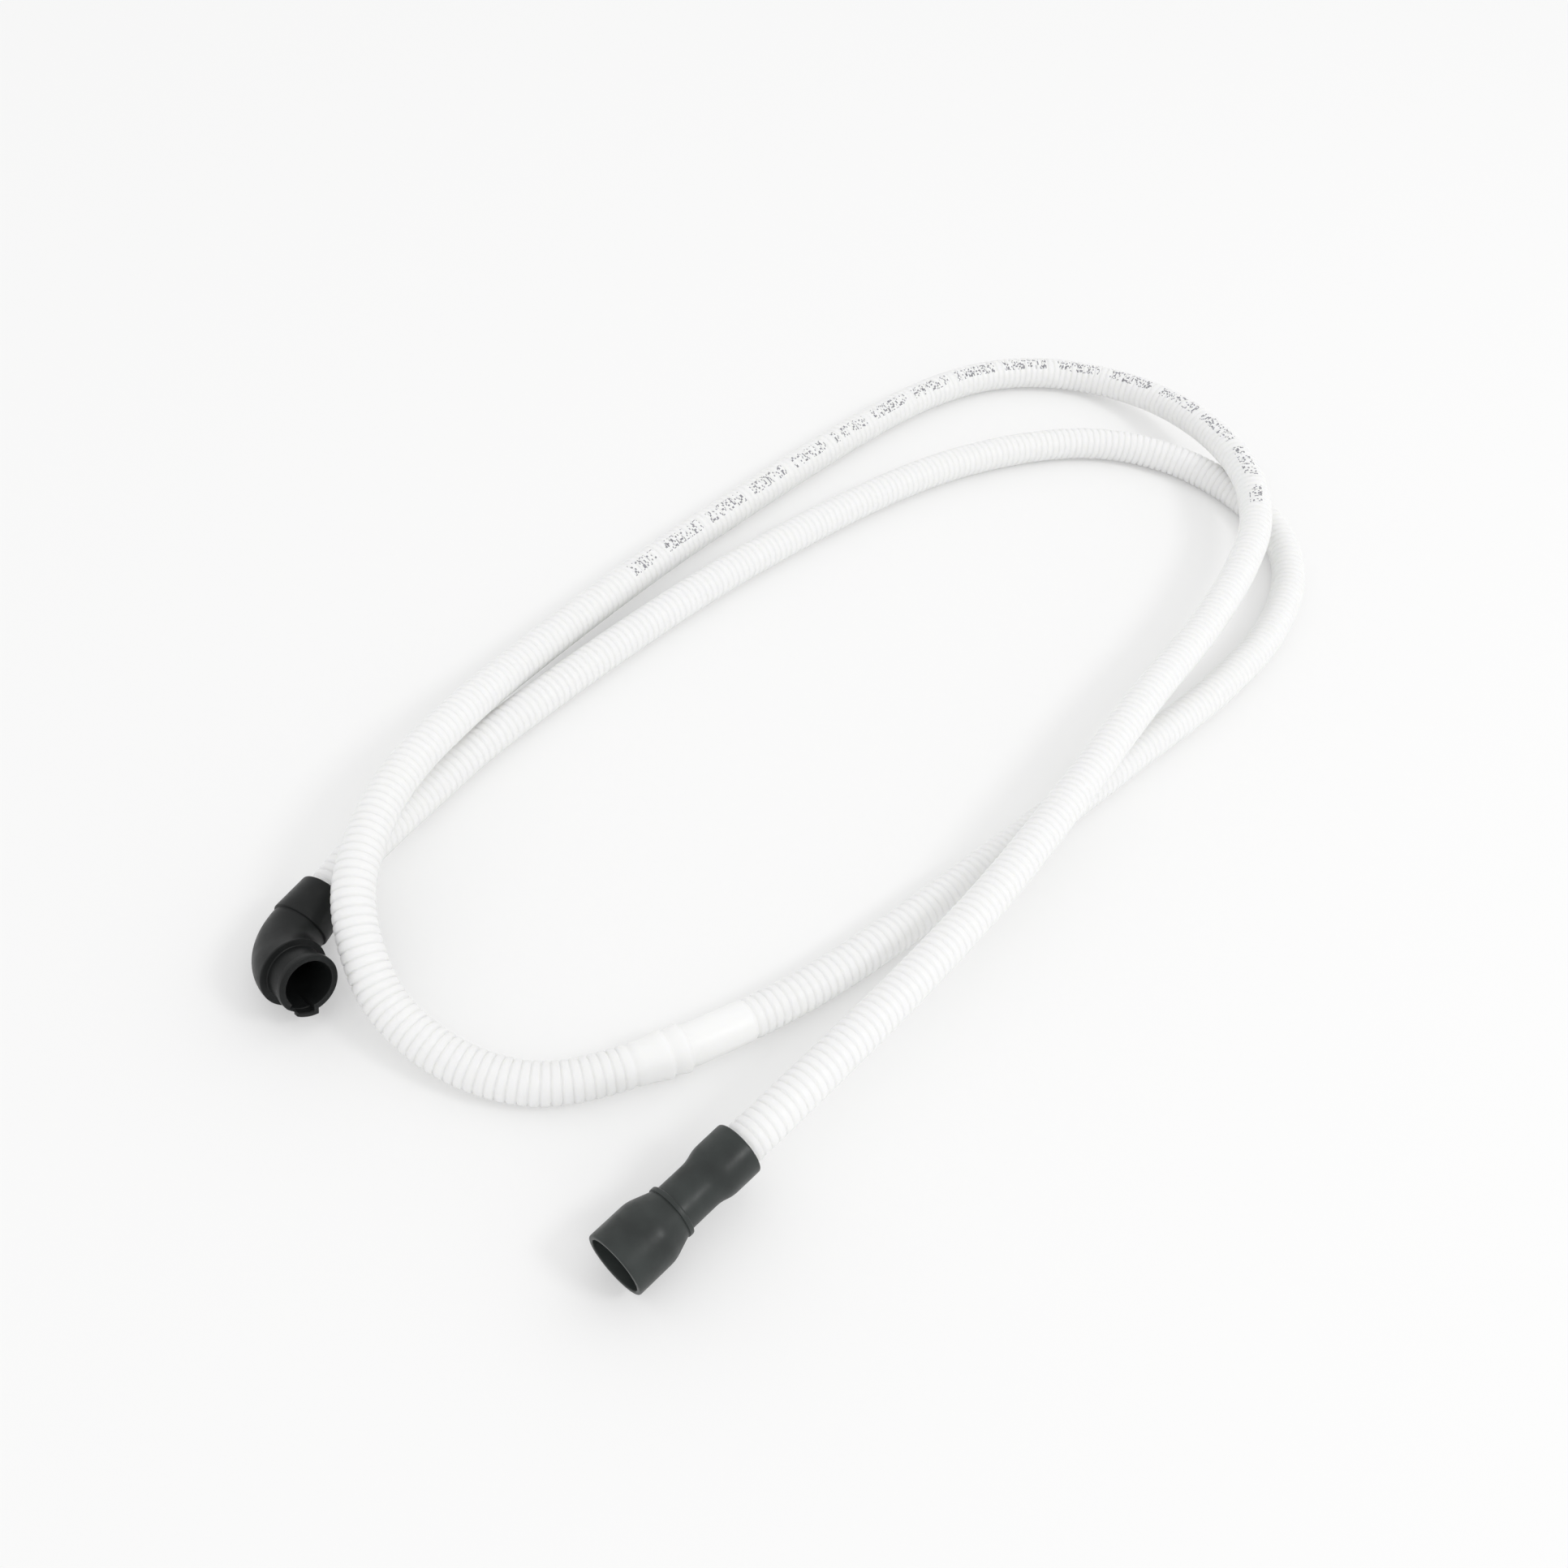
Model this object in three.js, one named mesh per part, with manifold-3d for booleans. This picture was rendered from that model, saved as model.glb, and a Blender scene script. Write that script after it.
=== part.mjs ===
// Drain hose extension: a ribbed 3 m hose lying in a loose loop, with a straight
// coupler on one end and an elbow connector on the other. Millimetres, +Z up.
import * as THREE from 'three';
import { mergeVertices } from 'three/addons/utils/BufferGeometryUtils.js';
import Module from 'manifold-3d';

// hose: one moulded tube, seen from outside as ribs, here as its plain envelope
const hoseDiameter = 22;
const hoseBore = 18;
const hoseSides = 12;
const hoseSteps = 80;

// how the hose sits in both fittings
const hoseInsertion = 18;
const fitClearance = 0.3;
const straightExit = 26;

// coupler, measured along its axis from the wide mouth
const couplerMouthDiameter = 34.2;
const couplerMouthBore = 29.2;
const couplerMouthLength = 22;
const couplerMouthDepth = 25;
const couplerConeLength = 11.8;
const couplerBeadDiameter = 27.6;
const couplerBeadWidth = 2.6;
const couplerWaistDiameter = 24.2;
const couplerWaistLength = 18.6;
const couplerWaterway = 17;
const couplerFlareLength = 6.2;
const couplerSleeveDiameter = 28.4;
const couplerSleeveLength = 17.4;

// elbow, measured along its bent axis from the hose sleeve
const elbowSleeveDiameter = 27.6;
const elbowSleeveLength = 21.5;
const elbowRidgeDiameter = 30.6;
const elbowRidgeWidth = 1.6;
const elbowBodyDiameter = 29.6;
const elbowBendLead = 1;
const elbowBendRadius = 26;
const elbowCollarDiameter = 35.4;
const elbowNeckDiameter = 28.1;
const elbowNeckLength = 11.2;
const elbowLipDiameter = 30.8;
const elbowLipThickness = 3.8;
const elbowOutletBore = 24.3;
const elbowWaterway = 18.6;

// lug on the elbow's lip: a bowed tab that bridges a gap in the lip
const lugDiameter = 35;
const lugHalfAngle = THREE.MathUtils.degToRad(26);
const lugGapHalfAngle = THREE.MathUtils.degToRad(19);
const lugOverlap = 0.5;
const lugTurn = THREE.MathUtils.degToRad(50);

// surface quality
const edgeRound = 0.6;
const roundSegments = 48;
const bendSteps = 12;

// where the fittings lie: the wide mouth of the coupler, the sleeve of the elbow
const couplerMouthCentre = new THREE.Vector3(-90.8, -229.6, 17);
const couplerHeading = new THREE.Vector3(0.567, 0.815, 0.12).normalize();
const elbowSleeveCentre = new THREE.Vector3(-278.4, -67.2, 17.8);
const elbowHeading = new THREE.Vector3(-0.296, -0.951, -0.094).normalize();
const elbowOutletHeading = new THREE.Vector3(0.748, -0.552, 0.369).normalize();

// the hose's route between the fittings, as it came to rest
const routePoints = [
  [22.6, -59.7, 33], [62, 9, 34], [106, 97.5, 34.5], [146, 183, 34.5],
  [184, 259, 33], [211, 326, 33], [224, 381, 33.5], [219, 433, 34.2],
  [196, 484, 29], [157, 527, 20], [107, 547, 12.5], [50, 535, 11.5],
  [-9, 490, 11], [-147, 281, 11.6], [-227, 118, 20.5], [-247, 55, 32.5],
  [-259.5, 7, 38.5], [-263.3, -35, 41.5], [-259.3, -76, 40.5], [-247.5, -102.5, 33],
  [-226.5, -126, 20.5], [-189, -143.5, 12.8], [-148, -146, 11], [-108, -128, 11],
  [-32, -66, 11], [69, 56, 11], [144, 155, 11], [201, 231, 11],
  [238, 296, 11], [254, 356, 11], [247, 404, 11], [216, 444, 11],
  [169, 467, 11], [111, 465, 11], [16, 409, 11], [-111, 261, 11],
  [-225, 75, 11.2], [-253, 12, 13],
];

const wasm = await Module();
wasm.setup();

const hoseMaterial = new THREE.MeshStandardMaterial({ color: 0xeeeeea, roughness: 0.45 });
const rubberMaterial = new THREE.MeshStandardMaterial({ color: 0x36383a, roughness: 0.6 });

// point on a fitting's axis at a distance from its start
function along(start, heading, distance) {
  return start.clone().addScaledVector(heading, distance);
}

function circlePath(radius, sides, PathClass) {
  const path = new PathClass();
  for (let i = 0; i <= sides; i += 1) {
    const angle = (i / sides) * 2 * Math.PI;
    const x = radius * Math.cos(angle);
    const y = radius * Math.sin(angle);
    if (i === 0) {
      path.moveTo(x, y);
    } else {
      path.lineTo(x, y);
    }
  }
  return path;
}

function makeHose() {
  const couplerLength = couplerStations().length;
  const couplerEnd = along(couplerMouthCentre, couplerHeading, couplerLength);
  const straight = [-hoseInsertion, straightExit / 6, straightExit];
  const first = straight.map((d) => along(couplerEnd, couplerHeading, d));
  const last = straight.map((d) => along(elbowSleeveCentre, elbowHeading, -d)).reverse();
  const free = routePoints.map(([x, y, z]) => new THREE.Vector3(x, y, z));
  const route = new THREE.CatmullRomCurve3([...first, ...free, ...last], false, 'centripetal');
  route.arcLengthDivisions = 2000;
  const section = circlePath(hoseDiameter / 2, hoseSides, THREE.Shape);
  section.holes.push(circlePath(hoseBore / 2, hoseSides, THREE.Path));
  return new THREE.ExtrudeGeometry(section, { steps: hoseSteps, extrudePath: route });
}

// distances along the coupler and the radii there, outside and inside
function couplerStations() {
  const coneEnd = couplerMouthLength + couplerConeLength;
  const beadEnd = coneEnd + couplerBeadWidth;
  const waistEnd = beadEnd + couplerWaistLength;
  const flareEnd = waistEnd + couplerFlareLength;
  const length = flareEnd + couplerSleeveLength;
  const mouth = couplerMouthDiameter / 2;
  const waist = couplerWaistDiameter / 2;
  const bead = couplerBeadDiameter / 2;
  const sleeve = couplerSleeveDiameter / 2;
  const outer = [
    [0, mouth - edgeRound],
    [edgeRound, mouth],
    [couplerMouthLength, mouth],
    [couplerMouthLength + edgeRound, mouth - edgeRound / 3],
    [coneEnd - edgeRound, waist + edgeRound],
    [coneEnd, bead - edgeRound],
    [coneEnd + edgeRound, bead],
    [beadEnd - edgeRound, bead],
    [beadEnd, waist],
    [waistEnd, waist],
    [flareEnd, sleeve - edgeRound],
    [length - edgeRound, sleeve],
    [length, sleeve - edgeRound],
  ];
  const mouthBore = couplerMouthBore / 2;
  const waterway = couplerWaterway / 2;
  const socket = hoseDiameter / 2 + fitClearance;
  const shoulder = length - hoseInsertion - fitClearance;
  const funnelEnd = couplerMouthDepth + mouthBore - waterway;
  const inner = [
    [length, socket + edgeRound / 2],
    [length - edgeRound / 2, socket],
    [shoulder, socket],
    [shoulder - edgeRound, waterway],
    [funnelEnd, waterway],
    [couplerMouthDepth, mouthBore],
    [edgeRound / 2, mouthBore],
    [0, mouthBore + edgeRound / 2],
  ];
  return { length, outer, inner };
}

function makeCoupler() {
  const { outer, inner } = couplerStations();
  const loop = [...outer, ...inner, outer[0]].map(([s, r]) => new THREE.Vector2(r, s));
  return new THREE.LatheGeometry(loop, roundSegments);
}

// the elbow's axis: straight sleeve, round bend, straight outlet
function elbowAxis() {
  const bendAngle = elbowHeading.angleTo(elbowOutletHeading);
  const planeNormal = elbowHeading.clone().cross(elbowOutletHeading).normalize();
  const inward = planeNormal.clone().cross(elbowHeading);
  const bendStart = elbowSleeveLength + elbowBendLead;
  const bendPoint = along(elbowSleeveCentre, elbowHeading, bendStart);
  const bendCentre = along(bendPoint, inward, elbowBendRadius);
  const outletStart = bendStart + bendAngle * elbowBendRadius;
  function frameAt(s) {
    const turn = THREE.MathUtils.clamp((s - bendStart) / elbowBendRadius, 0, bendAngle);
    const heading = elbowHeading.clone().applyAxisAngle(planeNormal, turn);
    const outward = inward.clone().negate().applyAxisAngle(planeNormal, turn);
    const point = along(bendCentre, outward, elbowBendRadius);
    const beyond = Math.min(s - bendStart, 0) + Math.max(s - outletStart, 0);
    return { point: along(point, heading, beyond), heading, outward, side: planeNormal };
  }
  return { frameAt, bendStart, outletStart };
}

// closed shell of round rings along the elbow's axis
function ringShell(frameAt, stations) {
  const positions = [];
  const indices = [];
  stations.forEach(([s, radius]) => {
    const { point, outward, side } = frameAt(s);
    for (let i = 0; i < roundSegments; i += 1) {
      const angle = (i / roundSegments) * 2 * Math.PI;
      const vertex = along(point, outward, radius * Math.cos(angle));
      vertex.addScaledVector(side, radius * Math.sin(angle));
      positions.push(vertex.x, vertex.y, vertex.z);
    }
  });
  stations.forEach((_, ring) => {
    const here = ring * roundSegments;
    const there = ((ring + 1) % stations.length) * roundSegments;
    for (let i = 0; i < roundSegments; i += 1) {
      const next = (i + 1) % roundSegments;
      indices.push(here + i, there + i, there + next);
      indices.push(here + i, there + next, here + next);
    }
  });
  const geometry = new THREE.BufferGeometry();
  geometry.setAttribute('position', new THREE.Float32BufferAttribute(positions, 3));
  geometry.setIndex(indices);
  return geometry;
}

function elbowStations(bendStart, outletStart) {
  const sleeve = elbowSleeveDiameter / 2;
  const ridge = elbowRidgeDiameter / 2;
  const body = elbowBodyDiameter / 2;
  const collar = elbowCollarDiameter / 2;
  const neck = elbowNeckDiameter / 2;
  const lip = elbowLipDiameter / 2;
  const lipBack = outletStart + elbowNeckLength;
  const mouth = lipBack + elbowLipThickness;
  const ridgeStart = elbowSleeveLength - elbowRidgeWidth;
  const outer = [
    [0, sleeve - edgeRound],
    [edgeRound, sleeve],
    [ridgeStart, ridge],
    [elbowSleeveLength - edgeRound, ridge],
  ];
  const socket = hoseDiameter / 2 + fitClearance;
  const shoulder = hoseInsertion + fitClearance;
  const outlet = elbowOutletBore / 2;
  const waterway = elbowWaterway / 2;
  const inner = [
    [mouth, outlet + edgeRound / 2],
    [mouth - edgeRound / 2, outlet],
    [outletStart + edgeRound, outlet],
  ];
  for (let i = 0; i <= bendSteps; i += 1) {
    const share = i / bendSteps;
    const grown = body + share * (collar - edgeRound - body);
    outer.push([bendStart + share * (outletStart - edgeRound - bendStart), grown]);
    const bore = outlet + share * (waterway - outlet);
    inner.push([outletStart - share * (outletStart - shoulder - edgeRound), bore]);
  }
  outer.push(
    [outletStart, collar],
    [outletStart + edgeRound / 2, collar - edgeRound],
    [outletStart + edgeRound, neck],
    [lipBack - edgeRound / 2, neck],
    [lipBack, lip - edgeRound],
    [lipBack + edgeRound, lip],
    [mouth - edgeRound, lip],
    [mouth, lip - edgeRound],
  );
  inner.push(
    [shoulder, socket],
    [edgeRound / 2, socket],
    [0, socket + edgeRound / 2],
  );
  return { outer, inner, lipBack, mouth };
}

// ring sector standing on the lip, local +Z towards the mouth, local +X through its middle
function ringSector(innerRadius, outerRadius, halfAngle, depth) {
  const sector = new THREE.Shape();
  sector.absarc(0, 0, outerRadius, -halfAngle, halfAngle, false);
  sector.absarc(0, 0, innerRadius, halfAngle, -halfAngle, true);
  sector.closePath();
  return new THREE.ExtrudeGeometry(sector, { depth, bevelEnabled: false, curveSegments: 12 });
}

function solidOf(geometry) {
  const bare = geometry.clone();
  bare.deleteAttribute('normal');
  bare.deleteAttribute('uv');
  const merged = mergeVertices(bare, 1e-4);
  const vertProperties = new Float32Array(merged.attributes.position.array);
  const triVerts = new Uint32Array(merged.index.array);
  return new wasm.Manifold(new wasm.Mesh({ numProp: 3, vertProperties, triVerts }));
}

function geometryOf(solid) {
  const mesh = solid.getMesh();
  const geometry = new THREE.BufferGeometry();
  geometry.setAttribute('position', new THREE.BufferAttribute(mesh.vertProperties, 3));
  geometry.setIndex(new THREE.BufferAttribute(mesh.triVerts, 1));
  geometry.computeVertexNormals();
  return geometry;
}

function makeElbow() {
  const { frameAt, bendStart, outletStart } = elbowAxis();
  const { outer, inner, lipBack, mouth } = elbowStations(bendStart, outletStart);
  const shell = ringShell(frameAt, [...outer, ...inner]);
  const { point, heading, outward, side } = frameAt(lipBack);
  const lugDirection = outward.clone().applyAxisAngle(heading, lugTurn);
  const across = heading.clone().cross(lugDirection);
  const basis = new THREE.Matrix4().makeBasis(lugDirection, across, heading).setPosition(point);
  const lipRadius = elbowLipDiameter / 2;
  const lugThickness = mouth - lipBack;
  const tab = ringSector(lipRadius - lugOverlap, lugDiameter / 2, lugHalfAngle, lugThickness);
  const boreClear = elbowOutletBore / 2 - edgeRound;
  const gap = ringSector(boreClear, lipRadius - lugOverlap, lugGapHalfAngle, 2 * lugThickness);
  tab.applyMatrix4(basis);
  gap.applyMatrix4(basis);
  const cut = solidOf(shell).subtract(solidOf(gap));
  return geometryOf(cut.add(solidOf(tab)));
}

const object = new THREE.Group();

const hose = new THREE.Mesh(makeHose(), hoseMaterial);
hose.name = 'drain_hose';

const coupler = new THREE.Mesh(makeCoupler(), rubberMaterial.clone());
coupler.name = 'straight_coupler';
coupler.quaternion.setFromUnitVectors(new THREE.Vector3(0, 1, 0), couplerHeading);
coupler.position.copy(couplerMouthCentre);

const elbow = new THREE.Mesh(makeElbow(), rubberMaterial.clone());
elbow.name = 'elbow_connector';

object.add(hose, coupler, elbow);

// origin under the middle of the object, on the surface that it lies on
object.updateMatrixWorld(true);
const extent = new THREE.Box3().setFromObject(object, true);
const middle = extent.getCenter(new THREE.Vector3());
object.position.set(-middle.x, -middle.y, -extent.min.z);

export default object;
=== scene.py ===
import math
import bpy
import numpy as np
from mathutils import Matrix, Vector


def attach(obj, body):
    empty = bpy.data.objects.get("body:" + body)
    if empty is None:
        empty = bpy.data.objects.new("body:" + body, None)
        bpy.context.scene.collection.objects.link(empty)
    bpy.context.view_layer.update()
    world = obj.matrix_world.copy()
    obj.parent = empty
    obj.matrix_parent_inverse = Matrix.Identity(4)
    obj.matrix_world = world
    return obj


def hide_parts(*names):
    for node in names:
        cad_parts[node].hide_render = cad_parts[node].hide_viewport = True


# Dressed drain hose extension: ribbed white hose, dark rubber coupler and elbow.
# Sizes are written in millimetres in the layout's own frame and turned into metres at the end.
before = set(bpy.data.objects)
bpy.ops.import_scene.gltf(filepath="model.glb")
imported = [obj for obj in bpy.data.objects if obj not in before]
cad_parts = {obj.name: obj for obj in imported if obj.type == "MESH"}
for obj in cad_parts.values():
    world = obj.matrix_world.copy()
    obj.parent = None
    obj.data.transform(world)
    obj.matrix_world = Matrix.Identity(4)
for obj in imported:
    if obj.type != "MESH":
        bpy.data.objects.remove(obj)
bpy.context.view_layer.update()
print("stage: frame loaded")

mm = 0.001

# where the fittings lie and which way they point, the same as in the solids
layout = {
    "couplerMouth": (-90.8, -229.6, 17.0),
    "couplerHeading": (0.567, 0.815, 0.12),
    "couplerLength": 78.6,
    "elbowSleeve": (-278.4, -67.2, 17.8),
    "elbowHeading": (-0.296, -0.951, -0.094),
    "elbowOutlet": (0.748, -0.552, 0.369),
}


def unit(v):
    v = np.array(v, float)
    return v / np.linalg.norm(v)


couplerMouth = np.array(layout["couplerMouth"])
couplerHeading = unit(layout["couplerHeading"])
couplerEnd = couplerMouth + couplerHeading * layout["couplerLength"]
elbowSleeve = np.array(layout["elbowSleeve"])
elbowHeading = unit(layout["elbowHeading"])


# the solids are centred on their box, so the layout's zero is found from the coupler's mouth
def findShift():
    corners = np.array([v.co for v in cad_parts["straight_coupler"].data.vertices]) / mm
    depth = corners @ couplerHeading
    ring = corners[depth < depth.min() + 0.05]
    return ring.mean(0) - couplerMouth


shift = findShift()


def toRow(points):
    return (np.asarray(points, float) + shift) * mm


# the camera stands in front, a little to the left, and looks down at the loop
cameraSetup = {
    "place": (-60.0, -520.0, 686.0),
    "depression": 48.6,
    "roll": 11.6,
    "focal": 1927 / 1932,
}


def makeCamera():
    data = bpy.data.cameras.new("camera")
    data.sensor_width = 36
    data.lens = 36 * cameraSetup["focal"]
    data.clip_start = 0.01
    data.clip_end = 50
    camera = bpy.data.objects.new("camera", data)
    bpy.context.scene.collection.objects.link(camera)
    tilt = Matrix.Rotation(math.radians(90 - cameraSetup["depression"]), 4, "X")
    roll = Matrix.Rotation(math.radians(cameraSetup["roll"]), 4, "Z")
    camera.matrix_world = Matrix.Translation(Vector(toRow(cameraSetup["place"]))) @ tilt @ roll
    bpy.context.scene.camera = camera


makeCamera()
print("stage: camera")

hoseSetup = {
    "diameter": 22.0,
    "ribPitch": 4.88,
    "grooveDepth": 1.35,
    # one rib: a share of the pitch, and how deep it lies there as a share of the groove
    "rib": [(0.0, 1.0), (0.12, 0.16), (0.28, 0.0), (0.72, 0.0), (0.88, 0.16)],
    "sides": 28,
    "insertion": 18.0,      # how far the hose sits in each fitting
    "straightExit": 26.0,   # how far it runs straight beyond each fitting
    "cuffStart": 1816.6,
    "cuffMiddle": 24.0,     # from the cuff's start to its highest place
    "cuffLift": 1.8,        # the cuff's rings keep the hose this much off the floor
    "cuffLiftReach": 75.0,
    # the cuff: how far from its start, and how high it stands over the ribs' crests
    "cuff": [(0.0, -1.0), (1.0, 0.0), (4.0, 0.0), (8.6, 0.2), (12.6, 1.0), (16.4, 1.9),
             (17.6, 1.8), (18.6, 0.3), (19.4, 0.3), (22.4, 1.0), (26.0, 1.9), (27.1, 1.8),
             (28.0, 0.2), (29.0, 0.1), (34.0, 0.1), (42.0, 0.1), (50.0, 0.1), (58.0, 0.1),
             (63.0, 0.1), (64.2, -0.2), (65.0, -1.0)],
    "cuffGroove": 0.8,      # from the cuff's end to the next rib
}

routePoints = [
    (22.6, -59.7, 33), (62, 9, 34), (106, 97.5, 34.5), (146, 183, 34.5),
    (184, 259, 33), (211, 326, 33), (224, 381, 33.5), (219, 433, 34.2),
    (196, 484, 29), (157, 527, 20), (107, 547, 12.5), (50, 535, 11.5),
    (-9, 490, 11), (-147, 281, 11.6), (-227, 118, 20.5), (-247, 55, 32.5),
    (-259.5, 7, 38.5), (-263.3, -35, 41.5), (-259.3, -76, 40.5), (-247.5, -102.5, 33),
    (-226.5, -126, 20.5), (-189, -143.5, 12.8), (-148, -146, 11), (-108, -128, 11),
    (-32, -66, 11), (69, 56, 11), (144, 155, 11), (201, 231, 11),
    (238, 296, 11), (254, 356, 11), (247, 404, 11), (216, 444, 11),
    (169, 467, 11), (111, 465, 11), (16, 409, 11), (-111, 261, 11),
    (-225, 75, 11.2), (-253, 12, 13),
]


# the centripetal curve through the points, the same one that carries the solid tube
def catmullRom(points, perSpan=60):
    p = np.array(points, float)
    p = np.vstack([2 * p[0] - p[1], p, 2 * p[-1] - p[-2]])
    out = []
    for i in range(1, len(p) - 2):
        p0, p1, p2, p3 = p[i - 1 : i + 3]
        d0, d1, d2 = (math.sqrt(np.linalg.norm(b - a)) for a, b in ((p0, p1), (p1, p2), (p2, p3)))
        t1 = ((p1 - p0) / d0 - (p2 - p0) / (d0 + d1) + (p2 - p1) / d1) * d1
        t2 = ((p2 - p1) / d1 - (p3 - p1) / (d1 + d2) + (p3 - p2) / d2) * d1
        for k in range(perSpan):
            t = k / perSpan
            c2 = -3 * p1 + 3 * p2 - 2 * t1 - t2
            c3 = 2 * p1 - 2 * p2 + t1 + t2
            out.append(p1 + t1 * t + c2 * t * t + c3 * t * t * t)
    out.append(p[-2])
    return np.array(out)


def hoseLine():
    steps = [-hoseSetup["insertion"], hoseSetup["straightExit"] / 6, hoseSetup["straightExit"]]
    first = [couplerEnd + couplerHeading * d for d in steps]
    last = [elbowSleeve - elbowHeading * d for d in reversed(steps)]
    return catmullRom(first + [np.array(q) for q in routePoints] + last)


hosePath = hoseLine()
hoseRun = np.concatenate([[0], np.cumsum(np.linalg.norm(np.diff(hosePath, axis=0), axis=1))])
hoseLength = hoseRun[-1]


def alongHose(s):
    place = np.stack([np.interp(s, hoseRun, hosePath[:, k]) for k in range(3)], -1)
    fromMiddle = np.asarray(s) - hoseSetup["cuffStart"] - hoseSetup["cuffMiddle"]
    near = np.exp(-((fromMiddle / hoseSetup["cuffLiftReach"]) ** 2))
    place[..., 2] += hoseSetup["cuffLift"] * near
    return place


# distance and radius of every ring: flat crests with narrow grooves, and the cuff
def ribStations():
    crest = hoseSetup["diameter"] / 2
    depth = hoseSetup["grooveDepth"]
    rib = [(a, b * depth) for a, b in hoseSetup["rib"]]
    cuff = hoseSetup["cuff"]
    start = hoseSetup["cuffStart"]
    end = start + cuff[-1][0] + hoseSetup["cuffGroove"]
    pitch = hoseSetup["ribPitch"]
    rings = []
    s = 0.0
    while s + pitch <= start:
        rings += [(s + a * pitch, crest - b) for a, b in rib]
        s += pitch
    rings += [(start + a, crest + b) for a, b in cuff]
    count = int((hoseLength - end) / pitch)
    for i in range(count):
        rings += [(end + (i + a) * pitch, crest - b) for a, b in rib]
    rings.append((min(hoseLength, end + count * pitch), crest - depth))
    return np.array(rings)


# centre, upward and outward direction of a ring: outward is to the right of the run
def hoseFrames(s):
    centre = alongHose(s)
    ahead = alongHose(np.minimum(s + 1.5, hoseLength)) - alongHose(np.maximum(s - 1.5, 0))
    ahead /= np.linalg.norm(ahead, axis=1)[:, None]
    side = np.cross(ahead, [0, 0, 1])
    side /= np.linalg.norm(side, axis=1)[:, None]
    return centre, np.cross(side, ahead), side


def meshOf(name, verts, faces, uvs=None, smooth=True):
    mesh = bpy.data.meshes.new(name)
    mesh.from_pydata([tuple(v) for v in verts], [], faces)
    mesh.polygons.foreach_set("use_smooth", [smooth] * len(mesh.polygons))
    if uvs is not None:
        layer = mesh.uv_layers.new(name="wrap")
        layer.data.foreach_set("uv", np.asarray(uvs, np.float32).ravel())
    mesh.update()
    piece = bpy.data.objects.new(name, mesh)
    bpy.context.scene.collection.objects.link(piece)
    return piece


def makeHose():
    rings = ribStations()
    s, radius = rings[:, 0], rings[:, 1]
    centre, up, side = hoseFrames(s)
    sides = hoseSetup["sides"]
    turn = np.arange(sides) / sides * 2 * math.pi
    ring = np.cos(turn)[None, :, None] * up[:, None, :] + np.sin(turn)[None, :, None] * side[:, None, :]
    outer = centre[:, None, :] + radius[:, None, None] * ring
    faces = []
    uvs = []
    for i in range(len(s) - 1):
        a, b = i * sides, (i + 1) * sides
        here, there = s[i] * mm, s[i + 1] * mm
        for k in range(sides):
            q = (k + 1) % sides
            low, high = k / sides, (k + 1) / sides
            faces.append((a + k, a + q, b + q, b + k))
            uvs += [(here, low), (here, high), (there, high), (there, low)]
    return meshOf("ribbed_hose", toRow(outer.reshape(-1, 3)), faces, uvs), toRow(centre)


hose, hoseCentres = makeHose()
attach(hose, "root")
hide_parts("drain_hose")
print("stage: hose", len(hose.data.polygons) * 2, "triangles", round(hoseLength), "mm")


# a closed outline of (along, radius, fillet) corners, each turned into a short arc
def rounded(corners, steps=4):
    points = [np.array(c[:2], float) for c in corners]
    out = []
    for i, (here, corner) in enumerate(zip(points, corners)):
        before, after = points[i - 1], points[(i + 1) % len(points)]
        back, ahead = before - here, after - here
        reach = min(corner[2], 0.45 * np.linalg.norm(back), 0.45 * np.linalg.norm(ahead))
        if reach < 0.01:
            out.append(here)
            continue
        start, stop = here + unit(back) * reach, here + unit(ahead) * reach
        for k in range(steps + 1):
            t = k / steps
            out.append((1 - t) ** 2 * start + 2 * t * (1 - t) * here + t * t * stop)
    return out


# a closed shell of rings along an axis; shape may push a ring outward and back at an angle
def ringPiece(name, outline, frameAt, segments, shape=None):
    turn = np.arange(segments) / segments * 2 * math.pi
    verts = []
    for along, radius in outline:
        centre, across, side = frameAt(along)
        outward = np.cos(turn)[:, None] * across + np.sin(turn)[:, None] * side
        ring = centre + radius * outward
        if shape is not None:
            out, back = shape(along, radius, np.degrees(turn))
            ring += out[:, None] * outward - back[:, None] * np.cross(side, across)
        verts.append(ring)
    count = len(outline)
    faces = []
    for i in range(count):
        a, b = i * segments, (i + 1) % count * segments
        for k in range(segments):
            q = (k + 1) % segments
            faces.append((a + k, b + k, b + q, a + q))
    return meshOf(name, toRow(np.concatenate(verts)), faces)


fitGap = {"side": 0.15, "end": 0.3}     # the room round the hose's end inside a fitting

couplerSetup = {
    "mouthRadius": 17.1,
    "mouthBore": 14.6,
    "mouthLength": 22.0,
    "mouthDepth": 25.0,
    "coneEnd": 33.8,
    "beadRadius": 13.8,
    "beadEnd": 36.4,
    "waistRadius": 12.1,
    "waistEnd": 55.0,
    "waterway": 8.5,
    "flareEnd": 61.2,
    "sleeveRadius": 14.2,
}


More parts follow.
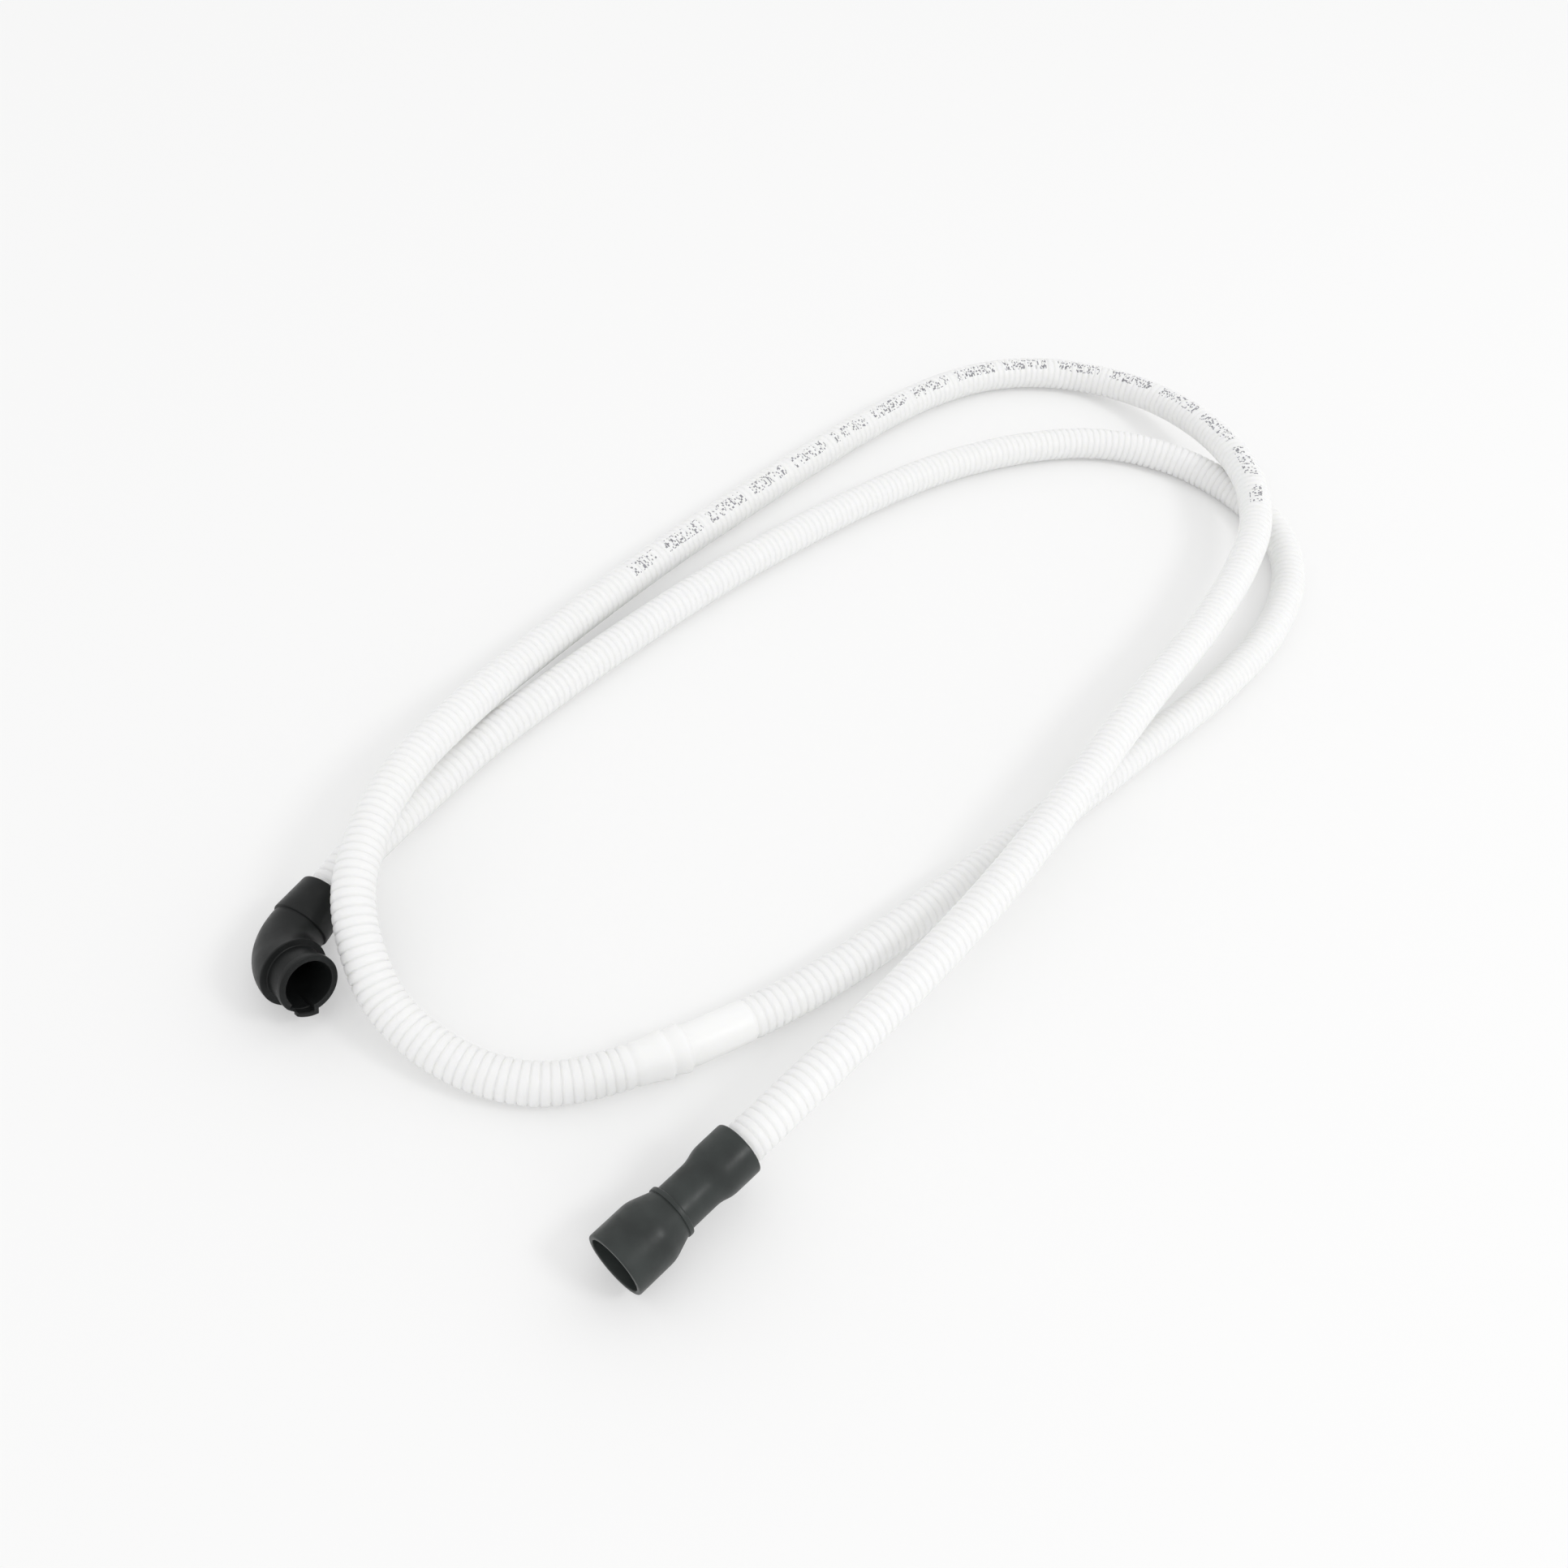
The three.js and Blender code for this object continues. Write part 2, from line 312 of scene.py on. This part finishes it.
def makeCoupler():
    c = couplerSetup
    end = layout["couplerLength"]
    socket = hoseSetup["diameter"] / 2 + fitGap["side"]
    shoulder = end - hoseSetup["insertion"] - fitGap["end"]
    outline = rounded([
        (0, c["mouthRadius"], 1.0),
        (c["mouthLength"], c["mouthRadius"], 3.0),
        (c["coneEnd"], c["waistRadius"] + 0.9, 0.4),
        (c["coneEnd"], c["beadRadius"], 1.0),
        (c["beadEnd"], c["beadRadius"], 1.0),
        (c["beadEnd"], c["waistRadius"], 0.5),
        (c["waistEnd"], c["waistRadius"], 3.5),
        (c["flareEnd"], c["sleeveRadius"] - 0.1, 3.0),
        (end, c["sleeveRadius"], 1.0),
        (end, socket, 0.5),
        (shoulder, socket, 0.3),
        (shoulder, c["waterway"], 0.3),
        (c["mouthDepth"] + c["mouthBore"] - c["waterway"], c["waterway"], 1.0),
        (c["mouthDepth"], c["mouthBore"], 1.0),
        (0, c["mouthBore"], 0.6),
    ])
    across = unit(np.cross(couplerHeading, [0, 0, 1]))
    side = np.cross(couplerHeading, across)
    return ringPiece("coupler_rubber", outline,
                     lambda s: (couplerMouth + couplerHeading * s, across, side), 128)


coupler = makeCoupler()
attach(coupler, "root")
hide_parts("straight_coupler")

elbowSetup = {
    "sleeveRadius": 13.8,
    "sleeveLength": 21.5,
    "ridgeLead": 1.8,       # the ridge at the sleeve's end rises over this length
    "ridgeRadius": 15.6,
    "grooveRadius": 14.4,
    "bodyRadius": 14.7,
    "bendLead": 1.0,
    "bendRadius": 26.0,
    "bodyGrowth": 1.2,      # above 1 the body widens late in the bend
    "collarRadius": 17.7,
    "neckRadius": 14.05,
    "neckLength": 11.2,
    "lipRadius": 15.4,
    "lipThickness": 3.8,
    "outletBore": 12.15,
    "waterway": 9.3,
    "lugFrom": -76.5,       # the lug's free tip and its root, as degrees round the lip
    "lugTo": -36.0,
    "lugTipRadius": 18.3,
    "lugRootRadius": 17.0,
    "slotFrom": -69.0,      # the dark slot inside the lug
    "slotTo": -14.0,
    "slotRadius": 15.0,
    "notchBack": 3.0,       # how far the lip is cut back beside the lug's root
    "notchIn": 0.5,
    "slotBack": 5.0,        # how deep the slot runs, and how it widens at the bottom and the tip
    "slotBottom": 1.2,
    "slotTip": 1.4,
    "lugSoft": 2.0,         # degrees over which the lug, the slot and the notch begin and end
    "notchSoft": 3.0,
}


def elbowAxis():
    e = elbowSetup
    outlet = unit(layout["elbowOutlet"])
    bend = math.acos(float(elbowHeading @ outlet))
    normal = unit(np.cross(elbowHeading, outlet))
    inward = np.cross(normal, elbowHeading)
    start = e["sleeveLength"] + e["bendLead"]
    outletStart = start + bend * e["bendRadius"]
    centre = elbowSleeve + elbowHeading * start + inward * e["bendRadius"]

    def frameAt(s):
        turn = min(max((s - start) / e["bendRadius"], 0), bend)
        heading = elbowHeading * math.cos(turn) + inward * math.sin(turn)
        outward = -inward * math.cos(turn) + elbowHeading * math.sin(turn)
        beyond = min(s - start, 0) + max(s - outletStart, 0)
        return centre + outward * e["bendRadius"] + heading * beyond, outward, normal

    return frameAt, start, outletStart


def makeElbow():
    e = elbowSetup
    frameAt, start, outletStart = elbowAxis()
    lipBack = outletStart + e["neckLength"]
    mouth = lipBack + e["lipThickness"]
    shoulder = hoseSetup["insertion"] + fitGap["end"]
    outer = [(0, e["sleeveRadius"], 1.0), (e["sleeveLength"] - e["ridgeLead"], e["ridgeRadius"] - 0.1, 1.0),
             (e["sleeveLength"], e["ridgeRadius"], 0.6), (e["sleeveLength"] + 0.3, e["grooveRadius"], 0.3)]
    bendSteps = 26
    for i in range(1, bendSteps):
        share = i / bendSteps
        grown = e["bodyRadius"] + (e["collarRadius"] - e["bodyRadius"]) * share ** e["bodyGrowth"]
        outer.append((start + share * (outletStart - start), grown, 0))
    outer += [(outletStart, e["collarRadius"], 0.9), (outletStart + 0.2, e["neckRadius"], 0.7),
              (lipBack, e["neckRadius"], 0.6), (lipBack, e["lipRadius"], 0.6),
              (mouth, e["lipRadius"], 0.7), (mouth, e["outletBore"], 0.6)]
    inner = [(lipBack, e["outletBore"], 0)]
    for i in range(bendSteps + 1):
        share = i / bendSteps
        bore = e["outletBore"] + share * (e["waterway"] - e["outletBore"])
        inner.append((outletStart - share * (outletStart - shoulder - 0.4), bore, 0))
    socket = hoseSetup["diameter"] / 2 + fitGap["side"]
    inner += [(shoulder, socket, 0.3), (0, socket, 0.5)]

    # one over the stretch of lip between two angles, falling to nothing beside it
    def between(place, low, high, soft):
        return np.clip((place - low) / soft + 0.5, 0, 1) * np.clip((high - place) / soft + 0.5, 0, 1)

    def shape(s, radius, turn):
        place = (turn + 180) % 360 - 180
        share = np.clip((place - e["lugFrom"]) / (e["lugTo"] - e["lugFrom"]), 0, 1)
        onLug = between(place, e["lugFrom"], e["lugTo"], e["lugSoft"])
        inSlot = between(place, e["slotFrom"], e["slotTo"], e["lugSoft"])
        inNotch = between(place, e["lugTo"], e["slotTo"], e["notchSoft"])
        front = (s - lipBack) / e["lipThickness"]
        if s < lipBack - 0.01:
            return 0 * place, 0 * place
        if radius > (e["neckRadius"] + e["lipRadius"]) / 2:
            lug = e["lugTipRadius"] + share * (e["lugRootRadius"] - e["lugTipRadius"])
            out = (lug - e["lipRadius"]) * onLug - e["notchIn"] * inNotch
            return out, e["notchBack"] * front * inNotch
        if radius < (e["neckRadius"] + e["outletBore"]) / 2 and front > 0.5:
            widened = e["slotRadius"] - e["outletBore"] + e["slotTip"] * (1 - share) * onLug
            return widened * inSlot, e["notchBack"] * inNotch
        if radius < (e["neckRadius"] + e["outletBore"]) / 2:
            return e["slotBottom"] * inSlot, e["slotBack"] * inSlot
        return 0 * place, e["notchBack"] * front * inNotch

    return ringPiece("elbow_rubber", rounded(outer + inner), frameAt, 240, shape)


elbow = makeElbow()
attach(elbow, "root")
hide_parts("elbow_connector")

print("stage: fittings", len(coupler.data.polygons) * 2 + len(elbow.data.polygons) * 2, "triangles")


def newMaterial(name):
    material = bpy.data.materials.new(name)
    material.use_nodes = True
    nodes = material.node_tree.nodes
    nodes.clear()
    output = nodes.new("ShaderNodeOutputMaterial")
    return material, nodes, material.node_tree.links, output


def addMath(nodes, links, kind, a, b=None, clamp=False):
    node = nodes.new("ShaderNodeMath")
    node.operation = kind
    node.use_clamp = clamp
    for socket, value in zip(node.inputs, (a, b)):
        if value is None:
            continue
        if isinstance(value, (int, float)):
            socket.default_value = value
        else:
            links.new(value, socket)
    return node.outputs[0]


def addNoise(nodes, links, scale, detail=3.0, vector=None):
    noise = nodes.new("ShaderNodeTexNoise")
    noise.inputs["Scale"].default_value = scale
    noise.inputs["Detail"].default_value = detail
    if vector is None:
        place = nodes.new("ShaderNodeTexCoord")
        vector = place.outputs["Object"]
    links.new(vector, noise.inputs["Vector"])
    return noise.outputs["Fac"]


def mixColour(nodes, links, factor, a, b):
    mix = nodes.new("ShaderNodeMix")
    mix.data_type = "RGBA"
    links.new(factor, mix.inputs[0])
    for socket, value in ((mix.inputs[6], a), (mix.inputs[7], b)):
        if isinstance(value, tuple):
            socket.default_value = (*value, 1)
        else:
            links.new(value, socket)
    return mix.outputs[2]


def mapRange(nodes, links, value, low, high, toLow, toHigh):
    node = nodes.new("ShaderNodeMapRange")
    links.new(value, node.inputs["Value"])
    for name, number in (("From Min", low), ("From Max", high), ("To Min", toLow), ("To Max", toHigh)):
        node.inputs[name].default_value = number
    return node.outputs[0]


hoseLook = {
    "white": (0.94, 0.94, 0.928),
    "shade": (0.92, 0.92, 0.902),
    "roughness": (0.31, 0.43),
    "clouding": 1.0,        # how much light passes under the surface, and how far in metres
    "cloudingReach": 0.012,
    "cloudingTint": (1.0, 1.0, 0.95),
    "clouds": 9.0,          # how fine the tone, the gloss and the grain change, per metre
    "glossClouds": 140.0,
    "grain": 420.0,
    "grainStrength": 0.12,
    "grainDepth": 0.0003,
    "gloss": 0.4,
    "ink": (0.13, 0.13, 0.16),
    "inkFrom": 0.640,       # the printed stretch in metres along the hose
    "inkTo": 1.315,
    "inkCentre": -0.044,    # the middle of the print in turns round the hose
    "inkHalfWidth": 0.066,
    "inkStep": 0.0009,      # the length of one speck, and of one group of them, in metres
    "inkGroup": 0.0445,
    "inkGroupShare": 0.8,
    "inkRows": 7,
    "inkBare": 0.75,        # the share of specks that are left out
    "inkCover": 0.8,
}


def hoseMaterial():
    look = hoseLook
    material, nodes, links, output = newMaterial("ribbed_white_plastic")
    shader = nodes.new("ShaderNodeBsdfPrincipled")
    cloud = addNoise(nodes, links, look["clouds"], 2.0)
    plastic = mixColour(nodes, links, cloud, look["shade"], look["white"])
    wrap = nodes.new("ShaderNodeUVMap")
    wrap.uv_map = "wrap"
    split = nodes.new("ShaderNodeSeparateXYZ")
    links.new(wrap.outputs["UV"], split.inputs[0])
    run, turn = split.outputs[0], split.outputs[1]
    # plain worn specks in even groups along one side of the hose, with no letters in them
    turned = addMath(nodes, links, "SUBTRACT", addMath(nodes, links, "FRACT",
                     addMath(nodes, links, "ADD", turn, 0.5 - look["inkCentre"])), 0.5)
    across = addMath(nodes, links, "DIVIDE", turned, look["inkHalfWidth"])
    inBand = addMath(nodes, links, "LESS_THAN", addMath(nodes, links, "ABSOLUTE", across), 1.0)
    inRun = addMath(nodes, links, "MULTIPLY", addMath(nodes, links, "GREATER_THAN", run, look["inkFrom"]),
                    addMath(nodes, links, "LESS_THAN", run, look["inkTo"]))
    column = addMath(nodes, links, "FLOOR", addMath(nodes, links, "DIVIDE", run, look["inkStep"]))
    row = addMath(nodes, links, "FLOOR", addMath(nodes, links, "MULTIPLY", across, look["inkRows"] / 2))
    cell = nodes.new("ShaderNodeCombineXYZ")
    links.new(column, cell.inputs[0])
    links.new(row, cell.inputs[1])
    dice = nodes.new("ShaderNodeTexWhiteNoise")
    dice.noise_dimensions = "2D"
    links.new(cell.outputs[0], dice.inputs["Vector"])
    specks = addMath(nodes, links, "GREATER_THAN", dice.outputs["Value"], look["inkBare"])
    part = addMath(nodes, links, "FRACT", addMath(nodes, links, "DIVIDE", run, look["inkGroup"]))
    groups = addMath(nodes, links, "LESS_THAN", part, look["inkGroupShare"])
    mark = addMath(nodes, links, "MULTIPLY", addMath(nodes, links, "MULTIPLY", inBand, inRun),
                   addMath(nodes, links, "MULTIPLY", specks, groups))
    ink = addMath(nodes, links, "MULTIPLY", mark, look["inkCover"])
    colour = mixColour(nodes, links, ink, plastic, look["ink"])
    links.new(colour, shader.inputs["Base Color"])
    rough = mapRange(nodes, links, addNoise(nodes, links, look["glossClouds"]), 0.3, 0.7,
                     *look["roughness"])
    links.new(rough, shader.inputs["Roughness"])
    shader.inputs["Specular IOR Level"].default_value = look["gloss"]
    shader.inputs["Subsurface Weight"].default_value = look["clouding"]
    shader.inputs["Subsurface Radius"].default_value = look["cloudingTint"]
    shader.inputs["Subsurface Scale"].default_value = look["cloudingReach"]
    bump = nodes.new("ShaderNodeBump")
    bump.inputs["Strength"].default_value = look["grainStrength"]
    bump.inputs["Distance"].default_value = look["grainDepth"]
    links.new(addNoise(nodes, links, look["grain"], 4.0), bump.inputs["Height"])
    links.new(bump.outputs[0], shader.inputs["Normal"])
    links.new(shader.outputs[0], output.inputs[0])
    return material


rubberLook = {
    "elbow": {"dark": (0.0095, 0.0103, 0.0103), "worn": (0.015, 0.0163, 0.0163), "sheen": 0.2},
    "coupler": {"dark": (0.0175, 0.0215, 0.0203), "worn": (0.031, 0.0375, 0.0355), "sheen": 0.4},
    "roughness": (0.31, 0.45),
    "clouds": 60.0,         # how fine the tone, the gloss and the grain change, per metre
    "glossClouds": 130.0,
    "grain": 900.0,
    "grainShare": 0.3,      # the fine grain's part in the bumps
    "bumpStrength": 0.2,
    "bumpDepth": 0.0004,
}


def rubberMaterial(part):
    look = rubberLook
    tones = look[part]
    material, nodes, links, output = newMaterial(part + "_dark_rubber")
    shader = nodes.new("ShaderNodeBsdfPrincipled")
    cloud = mapRange(nodes, links, addNoise(nodes, links, look["clouds"], 4.0), 0.35, 0.7, 0, 1)
    colour = mixColour(nodes, links, cloud, tones["dark"], tones["worn"])
    links.new(colour, shader.inputs["Base Color"])
    rough = mapRange(nodes, links, addNoise(nodes, links, look["glossClouds"], 5.0), 0.3, 0.7,
                     *look["roughness"])
    links.new(rough, shader.inputs["Roughness"])
    shader.inputs["Specular IOR Level"].default_value = tones["sheen"]
    grain = addNoise(nodes, links, look["grain"], 3.0)
    broad = addNoise(nodes, links, look["glossClouds"], 2.0)
    fine = addMath(nodes, links, "MULTIPLY", grain, look["grainShare"])
    height = addMath(nodes, links, "ADD", fine, broad)
    bump = nodes.new("ShaderNodeBump")
    bump.inputs["Strength"].default_value = look["bumpStrength"]
    bump.inputs["Distance"].default_value = look["bumpDepth"]
    links.new(height, bump.inputs["Height"])
    links.new(bump.outputs[0], shader.inputs["Normal"])
    links.new(shader.outputs[0], output.inputs[0])
    return material


def dress(piece, material):
    piece.data.materials.clear()
    piece.data.materials.append(material)


dress(hose, hoseMaterial())
dress(coupler, rubberMaterial("coupler"))
dress(elbow, rubberMaterial("elbow"))
print("stage: materials")

stageSetup = {
    "floor": (0.91, 0.91, 0.908),
    "cameraWhite": 0.28,    # how much of the floor is plain white to the camera
    "whiteLevel": 1.07,
    "world": 0.9,
    "key": 19.0,
    "keySize": 0.8,
    "keyPlace": (2.3, -0.65, 2.6),
    "floorHalf": 6.0,
    "floorDrop": 0.0004,    # the floor lies this far under the hose
}


def makeFloor():
    h = stageSetup["floorHalf"]
    floor = meshOf("floor", [(-h, -h, 0), (h, -h, 0), (h, h, 0), (-h, h, 0)], [(0, 1, 2, 3)], smooth=False)
    floor.location.z = -stageSetup["floorDrop"]
    material, nodes, links, output = newMaterial("pale_floor")
    base = nodes.new("ShaderNodeBsdfPrincipled")
    base.inputs["Base Color"].default_value = (*stageSetup["floor"], 1)
    base.inputs["Roughness"].default_value = 0.9
    base.inputs["Specular IOR Level"].default_value = 0.1
    glow = nodes.new("ShaderNodeEmission")
    glow.inputs["Strength"].default_value = stageSetup["whiteLevel"]
    path = nodes.new("ShaderNodeLightPath")
    mix = nodes.new("ShaderNodeMixShader")
    share = addMath(nodes, links, "MULTIPLY", path.outputs["Is Camera Ray"], stageSetup["cameraWhite"])
    links.new(share, mix.inputs[0])
    links.new(base.outputs[0], mix.inputs[1])
    links.new(glow.outputs[0], mix.inputs[2])
    links.new(mix.outputs[0], output.inputs[0])
    floor.data.materials.append(material)


def makeLight(name, place, size, power, target=(0, 0, 0)):
    data = bpy.data.lights.new(name, "AREA")
    data.shape = "SQUARE"
    data.size = size
    data.energy = power
    lamp = bpy.data.objects.new(name, data)
    bpy.context.scene.collection.objects.link(lamp)
    lamp.location = place
    lamp.rotation_mode = "QUATERNION"
    lamp.rotation_quaternion = (Vector(target) - Vector(place)).to_track_quat("-Z", "Y")


def makeWorld():
    world = bpy.data.worlds.new("studio")
    world.use_nodes = True
    background = world.node_tree.nodes["Background"]
    background.inputs["Color"].default_value = (1, 1, 1, 1)
    background.inputs["Strength"].default_value = stageSetup["world"]
    bpy.context.scene.world = world


makeFloor()
makeWorld()
makeLight("key", stageSetup["keyPlace"], stageSetup["keySize"], stageSetup["key"])
bpy.context.scene.view_settings.view_transform = "Standard"
print("stage: floor and light")

bpy.context.view_layer.update()
